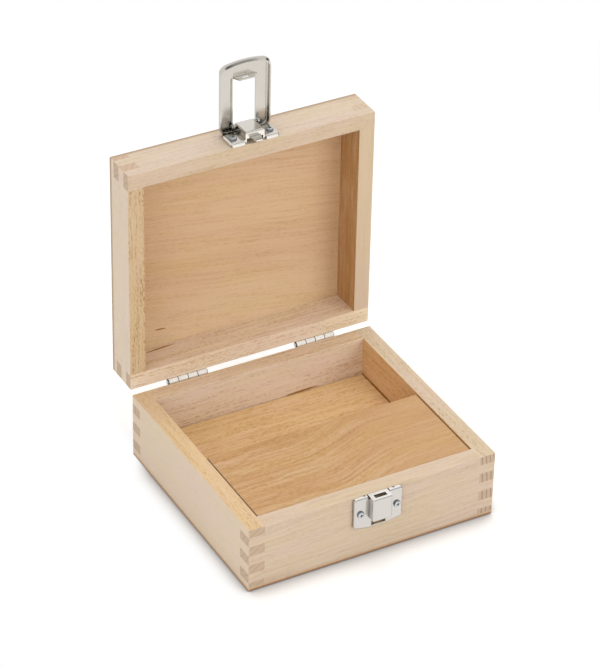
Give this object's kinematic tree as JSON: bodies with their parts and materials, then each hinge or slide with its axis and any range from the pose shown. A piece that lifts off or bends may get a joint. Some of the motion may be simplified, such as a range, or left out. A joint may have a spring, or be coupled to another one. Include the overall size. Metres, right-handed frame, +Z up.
{
  "type": "hinged instrument case",
  "caption": "Small finger-jointed beech case with a hinged lid, a loop latch, a rear compartment and a loose board over the front one.",
  "frame": {"origin": "centre of the base's underside", "axes": "+X to the right seen from the front, +Y to the back, where the hinges are, +Z up"},
  "size_m": [0.157, 0.1768, 0.235],
  "materials": {
    "beech_front_back": "fine-sawn beech, grain along X",
    "beech_base_sides": "fine-sawn beech, grain along Y",
    "beech_lid_front_back": "fine-sawn beech, grain along X",
    "beech_lid_sides": "fine-sawn beech, grain along the lid's depth",
    "beech_inside": "plain beech",
    "bottom_plywood": "plywood with a darker edge",
    "lid_plywood": "plywood with a darker edge",
    "floor_board": "honey-coloured beech",
    "cover_board": "honey-coloured beech",
    "nickel_catch": "bright nickel plate",
    "nickel_latch_plate": "bright nickel plate",
    "nickel_loop": "bright nickel plate",
    "nickel_hinges": "bright nickel plate",
    "steel_pins": "plain steel",
    "zinc_screws": "bluish zinc plate"
  },
  "bodies": {
    "base": {"base_front_wall": "beech_front_back", "base_back_wall": "beech_front_back", "base_left_wall": "beech_base_sides", "base_right_wall": "beech_base_sides", "base_bottom_panel": "bottom_plywood", "compartment_floor": "floor_board", "compartment_divider": "beech_inside", "cover_ledge": "beech_inside", "catch_plate": "nickel_catch", "catch_screws": "zinc_screws", "hinge_base_screws": "zinc_screws", "left_hinge_base_leaf": "nickel_hinges", "right_hinge_base_leaf": "nickel_hinges", "left_hinge_pin": "steel_pins", "right_hinge_pin": "steel_pins"},
    "lid": {"lid_front_wall": "beech_lid_front_back", "lid_back_wall": "beech_lid_front_back", "lid_left_wall": "beech_lid_sides", "lid_right_wall": "beech_lid_sides", "lid_top_panel": "lid_plywood", "left_hinge_lid_leaf": "nickel_hinges", "right_hinge_lid_leaf": "nickel_hinges", "hinge_lid_screws": "zinc_screws", "latch_plate": "nickel_latch_plate", "latch_pin": "steel_pins", "latch_plate_screws": "zinc_screws"},
    "loop": {"latch_loop": "nickel_loop"},
    "cover": {"compartment_cover": "cover_board"}
  },
  "joints": [
    {"name": "lid_hinge", "type": "hinge", "parent": "base", "child": "lid", "pos_m": [0, 0.074, 0.04265], "axis": [1, 0, 0], "range_deg": [0, 90]},
    {"name": "loop_pivot", "type": "hinge", "parent": "lid", "child": "loop", "pos_m": [0.0017, 0.08755, 0.19395], "axis": [1, 0, 0], "range_deg": [0, 90]},
    {"name": "cover_lift", "type": "slide", "parent": "base", "child": "cover", "axis": [0, 0, 1], "range_m": [0, 0.02]}
  ]
}
